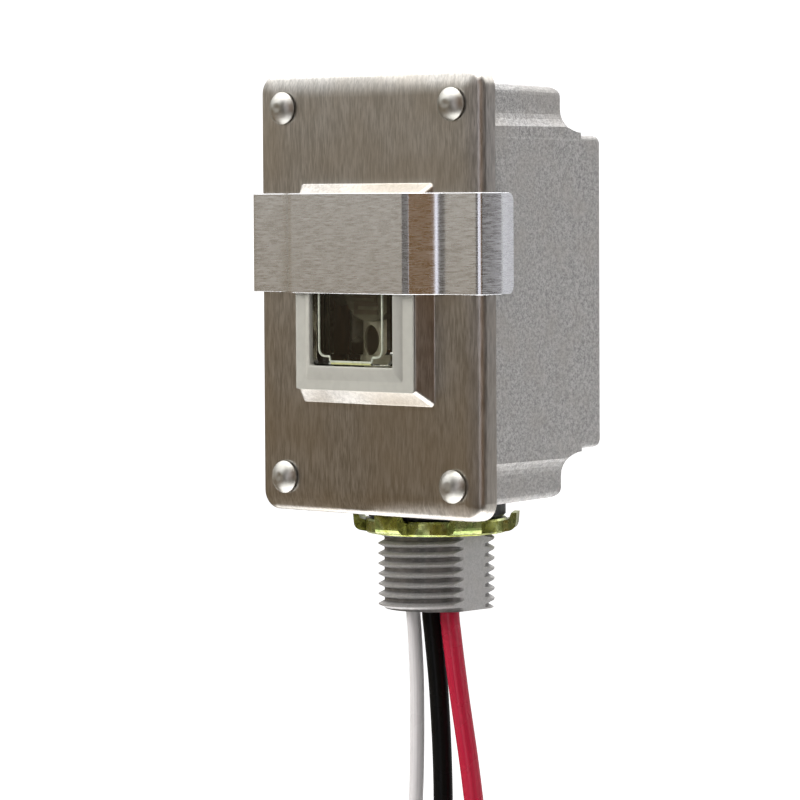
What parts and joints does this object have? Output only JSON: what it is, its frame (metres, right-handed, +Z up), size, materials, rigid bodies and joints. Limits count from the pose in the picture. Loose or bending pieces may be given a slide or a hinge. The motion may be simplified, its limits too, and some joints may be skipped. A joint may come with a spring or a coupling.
{
  "type": "photocell switch",
  "caption": "Outdoor light sensing switch: cast housing with a threaded conduit nipple, riveted steel cover with a window, a light level slide, locknut and hanging leads.",
  "frame": {"origin": "on the nipple's axis at its shoulder, level with the housing's underside", "axes": "-Y is the way the eye looks, out of the cover; +Z is up, out of the nipple's shoulder into the housing"},
  "size_m": [0.0546, 0.0417, 0.2303],
  "materials": {
    "cast_metal": "rough as-cast",
    "cover_steel": "upright brushed grain",
    "slide_steel": "level brushed grain",
    "rivet_metal": "satin",
    "yellow_zinc": "yellow chromate on zinc plate",
    "black_rubber": "matt",
    "white_plastic": "satin",
    "clear_plastic": "clear",
    "white_insulation": "satin",
    "black_insulation": "gloss",
    "red_insulation": "gloss",
    "bare_copper": "bright",
    "brown_board": "satin",
    "cell_face": "satin",
    "tinned_steel": "bright",
    "ceramic": "matt"
  },
  "bodies": {
    "root": {"housing": "cast_metal", "cover": "cover_steel", "cover_gasket": "black_rubber", "window_frame": "white_plastic", "window_lens": "clear_plastic", "rivet_top_left": "rivet_metal", "rivet_top_right": "rivet_metal", "rivet_bottom_left": "rivet_metal", "rivet_bottom_right": "rivet_metal", "locknut": "yellow_zinc", "sealing_washer": "black_rubber", "lead_bushing": "black_rubber", "lead_white": "white_insulation", "lead_black": "black_insulation", "lead_red": "red_insulation", "conductor_white": "bare_copper", "conductor_black": "bare_copper", "conductor_red": "bare_copper", "base_board": "brown_board", "board_screw_left": "tinned_steel", "board_screw_right": "tinned_steel", "sensor_cell": "cell_face", "cell_leg_left": "tinned_steel", "cell_leg_right": "tinned_steel", "cell_shield": "tinned_steel", "working_blade": "tinned_steel", "compensating_blade": "tinned_steel", "heater_resistor": "ceramic", "moving_contact": "bare_copper", "fixed_contact": "bare_copper", "surge_resistor": "ceramic", "terminal_white": "tinned_steel", "terminal_black": "tinned_steel", "terminal_red": "tinned_steel"},
    "slide": {"light_level_slide": "slide_steel"}
  },
  "joints": [
    {"name": "light_level", "type": "slide", "parent": "root", "child": "slide", "axis": [0, 0, 1], "range_m": [-0.0295, 0.0115]}
  ]
}
